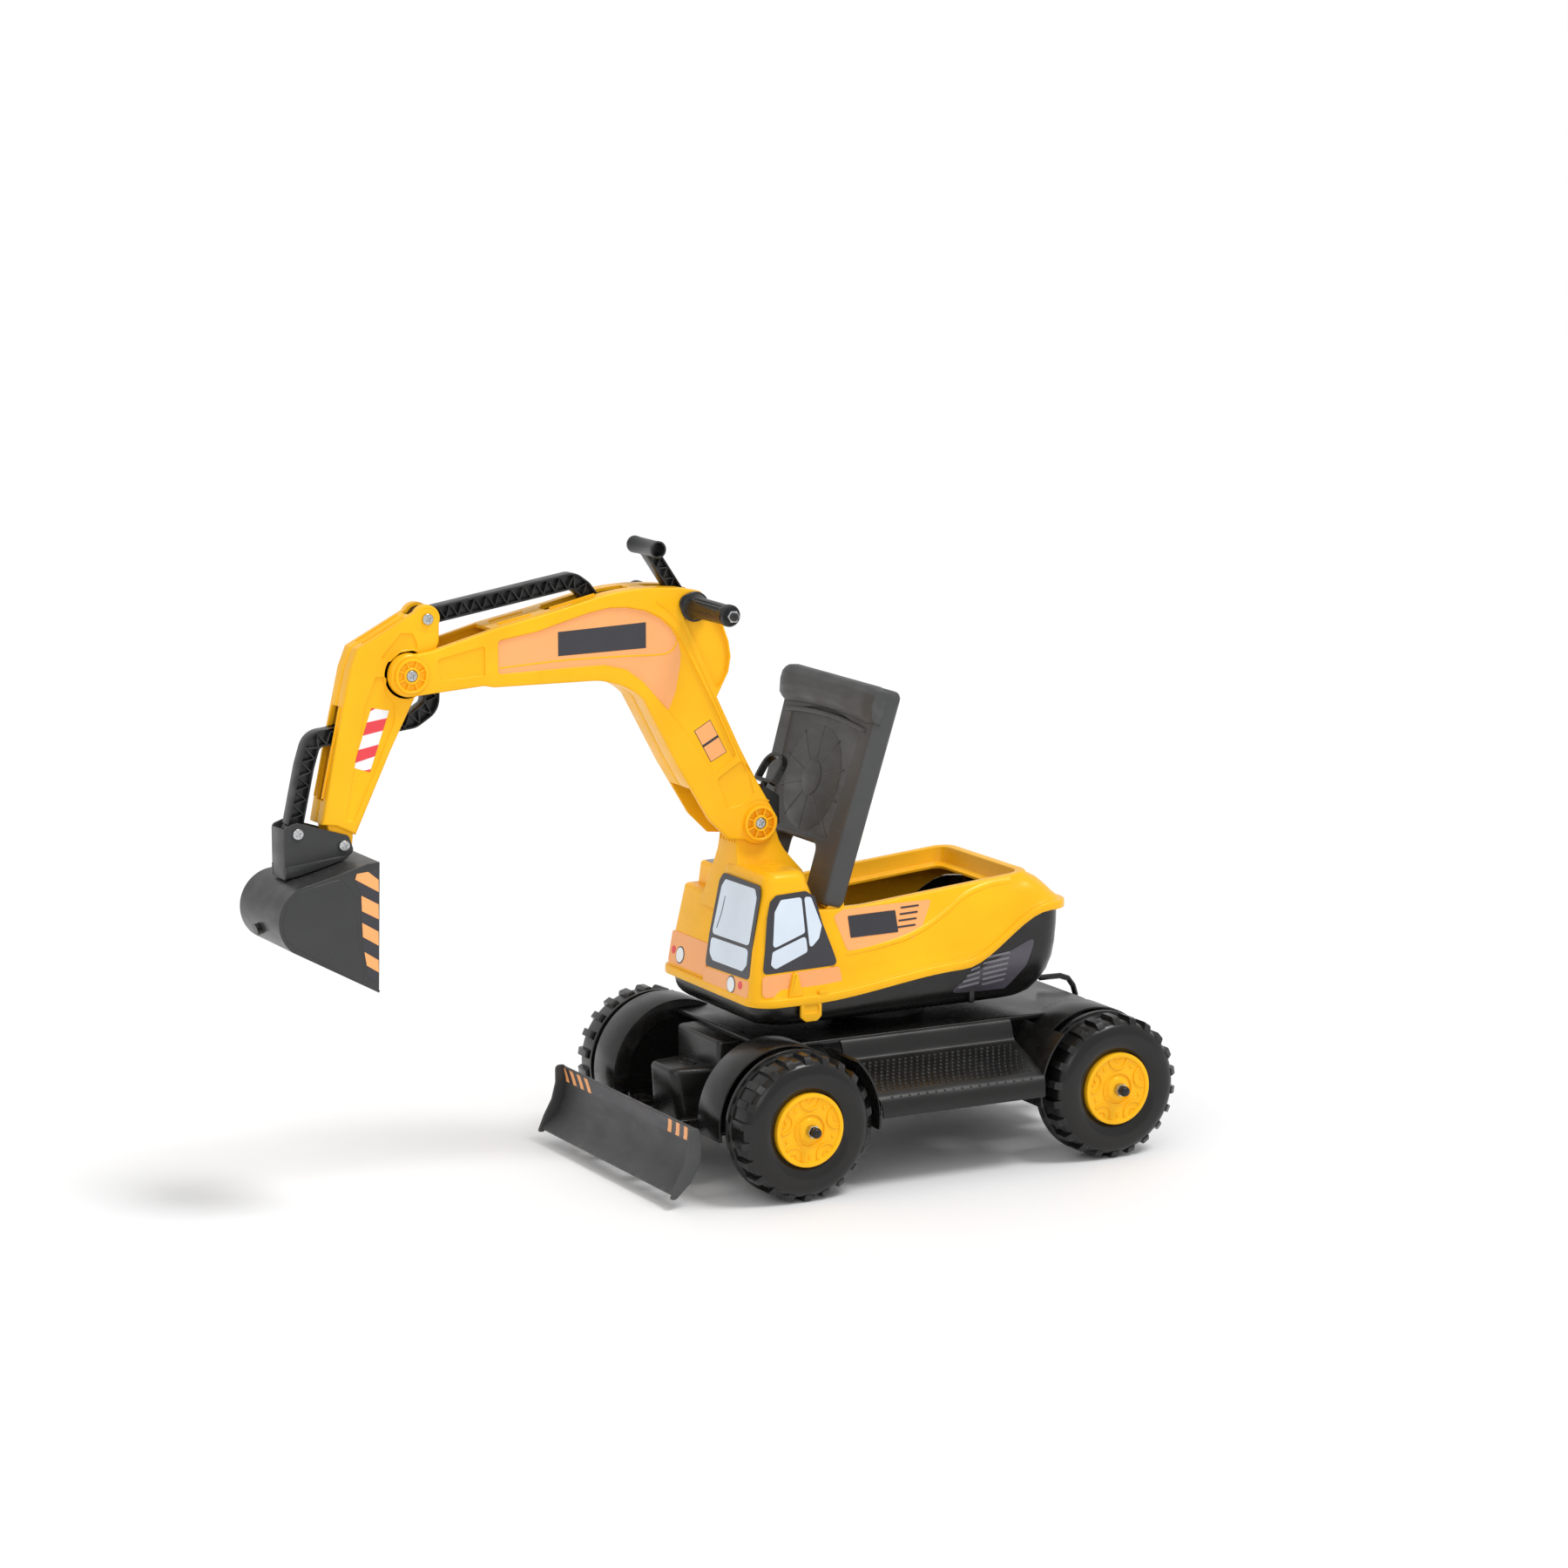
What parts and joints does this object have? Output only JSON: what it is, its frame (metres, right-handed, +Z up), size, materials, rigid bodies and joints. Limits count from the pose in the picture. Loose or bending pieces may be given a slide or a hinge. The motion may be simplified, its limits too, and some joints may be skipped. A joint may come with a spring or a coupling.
{
  "type": "ride-on toy digger",
  "caption": "Child's ride-on toy digger: four-wheeled chassis with a blade, a swivelling body with a lidded seat, and a lever-worked boom, dipper and bucket.",
  "frame": {"origin": "on the floor, under the middle of the whole digger's bounding box", "axes": "+Z up; the bucket and the blade face -Y; +X is the digger's left side"},
  "size_m": [0.4592, 1.0446, 0.7134],
  "materials": {
    "yellow_plastic": "glossy moulded plastic",
    "black_plastic": "glossy moulded plastic",
    "grey_plastic": "satin moulded plastic",
    "zinc_steel": "zinc plated"
  },
  "bodies": {
    "base": {"chassis": "black_plastic", "dozer_blade": "grey_plastic", "front_axle": "zinc_steel", "rear_axle": "zinc_steel", "turntable_ring": "grey_plastic", "swivel_bolt": "zinc_steel", "front_left_axle_nut": "zinc_steel", "front_left_axle_cap": "black_plastic", "front_right_axle_nut": "zinc_steel", "front_right_axle_cap": "black_plastic", "rear_left_axle_nut": "zinc_steel", "rear_left_axle_cap": "black_plastic", "rear_right_axle_nut": "zinc_steel", "rear_right_axle_cap": "black_plastic"},
    "front_left_wheel_body": {"front_left_wheel": "black_plastic", "front_left_hub_cap": "yellow_plastic"},
    "front_right_wheel_body": {"front_right_wheel": "black_plastic", "front_right_hub_cap": "yellow_plastic"},
    "rear_left_wheel_body": {"rear_left_wheel": "black_plastic", "rear_left_hub_cap": "yellow_plastic"},
    "rear_right_wheel_body": {"rear_right_wheel": "black_plastic", "rear_right_hub_cap": "yellow_plastic"},
    "hitch": {"hitch_pin": "black_plastic"},
    "upper_body": {"lower_tub": "black_plastic", "upper_shell": "yellow_plastic", "swivel_nut": "zinc_steel", "swivel_cover": "black_plastic", "lock_guide": "black_plastic", "seat_pin_left": "zinc_steel", "seat_pin_right": "zinc_steel"},
    "lock": {"lock_handle": "black_plastic"},
    "seat": {"seat_lid": "grey_plastic"},
    "boom": {"boom_left": "yellow_plastic", "boom_right": "yellow_plastic", "handgrip_left": "black_plastic", "handgrip_right": "black_plastic", "grip_rod": "zinc_steel", "grip_nut_left": "zinc_steel", "grip_nut_right": "zinc_steel", "elbow_bolt": "zinc_steel", "elbow_nut": "zinc_steel", "boom_pivot_bolt": "zinc_steel", "boom_pivot_nut": "zinc_steel", "link_anchor_pin": "zinc_steel"},
    "lever": {"control_lever": "black_plastic", "crank_pin": "zinc_steel"},
    "dipper": {"dipper_left": "yellow_plastic", "dipper_right": "yellow_plastic", "rod_bolt": "zinc_steel", "rod_nut": "zinc_steel"},
    "rod": {"control_rod": "black_plastic"},
    "bucket": {"bucket_shell": "black_plastic", "bucket_bracket": "black_plastic", "bucket_plug": "black_plastic", "bucket_bolt": "zinc_steel", "bucket_nut": "zinc_steel", "link_bolt": "zinc_steel", "link_nut": "zinc_steel"},
    "link": {"bucket_link": "black_plastic"}
  },
  "joints": [
    {"name": "front_left_wheel_roll", "type": "hinge", "parent": "base", "child": "front_left_wheel_body", "pos_m": [0.19, 0.0353, 0.082], "axis": [1, 0, 0], "continuous": true},
    {"name": "front_right_wheel_roll", "type": "hinge", "parent": "base", "child": "front_right_wheel_body", "pos_m": [-0.19, 0.0353, 0.082], "axis": [1, 0, 0], "continuous": true},
    {"name": "rear_left_wheel_roll", "type": "hinge", "parent": "base", "child": "rear_left_wheel_body", "pos_m": [0.19, 0.4313, 0.082], "axis": [1, 0, 0], "continuous": true},
    {"name": "rear_right_wheel_roll", "type": "hinge", "parent": "base", "child": "rear_right_wheel_body", "pos_m": [-0.19, 0.4313, 0.082], "axis": [1, 0, 0], "continuous": true},
    {"name": "hitch_pin_lift", "type": "slide", "parent": "base", "child": "hitch", "axis": [0, 0, 1], "range_m": [0, 0.028]},
    {"name": "body_swivel", "type": "hinge", "parent": "base", "child": "upper_body", "pos_m": [0, 0.2333, 0.172], "axis": [0, 0, 1], "continuous": true},
    {"name": "lock_pull", "type": "slide", "parent": "upper_body", "child": "lock", "axis": [0, 0.5446, 0.8387], "range_m": [0, 0.006]},
    {"name": "seat_hinge", "type": "hinge", "parent": "upper_body", "child": "seat", "pos_m": [0, 0.1353, 0.3015], "axis": [1, 0, 0], "range_deg": [-68.4, 3]},
    {"name": "boom_hinge", "type": "hinge", "parent": "upper_body", "child": "boom", "pos_m": [0, 0.0693, 0.39], "axis": [1, 0, 0], "range_deg": [-15, 24]},
    {"name": "dipper_hinge", "type": "hinge", "parent": "boom", "child": "dipper", "pos_m": [0, -0.3512, 0.587], "axis": [1, 0, 0], "range_deg": [-10, 20]},
    {"name": "lever_hinge", "type": "hinge", "parent": "boom", "child": "lever", "pos_m": [0, -0.0117, 0.639], "axis": [1, 0, 0], "range_deg": [-15, 8]},
    {"name": "rod_hinge", "type": "hinge", "parent": "dipper", "child": "rod", "pos_m": [0, -0.3267, 0.645], "axis": [1, 0, 0], "range_deg": [-20, 10]},
    {"name": "bucket_hinge", "type": "hinge", "parent": "dipper", "child": "bucket", "pos_m": [0, -0.4267, 0.4076], "axis": [1, 0, 0], "range_deg": [-8, 15]},
    {"name": "link_hinge", "type": "hinge", "parent": "bucket", "child": "link", "pos_m": [0, -0.4795, 0.4247], "axis": [1, 0, 0], "range_deg": [-14, 7]}
  ],
  "couplings": [
    {"joint": "lever_hinge", "follows": "dipper_hinge", "ratio": -0.724},
    {"joint": "rod_hinge", "follows": "dipper_hinge", "ratio": -0.981},
    {"joint": "bucket_hinge", "follows": "dipper_hinge", "ratio": 0.719},
    {"joint": "link_hinge", "follows": "dipper_hinge", "ratio": -0.675}
  ]
}
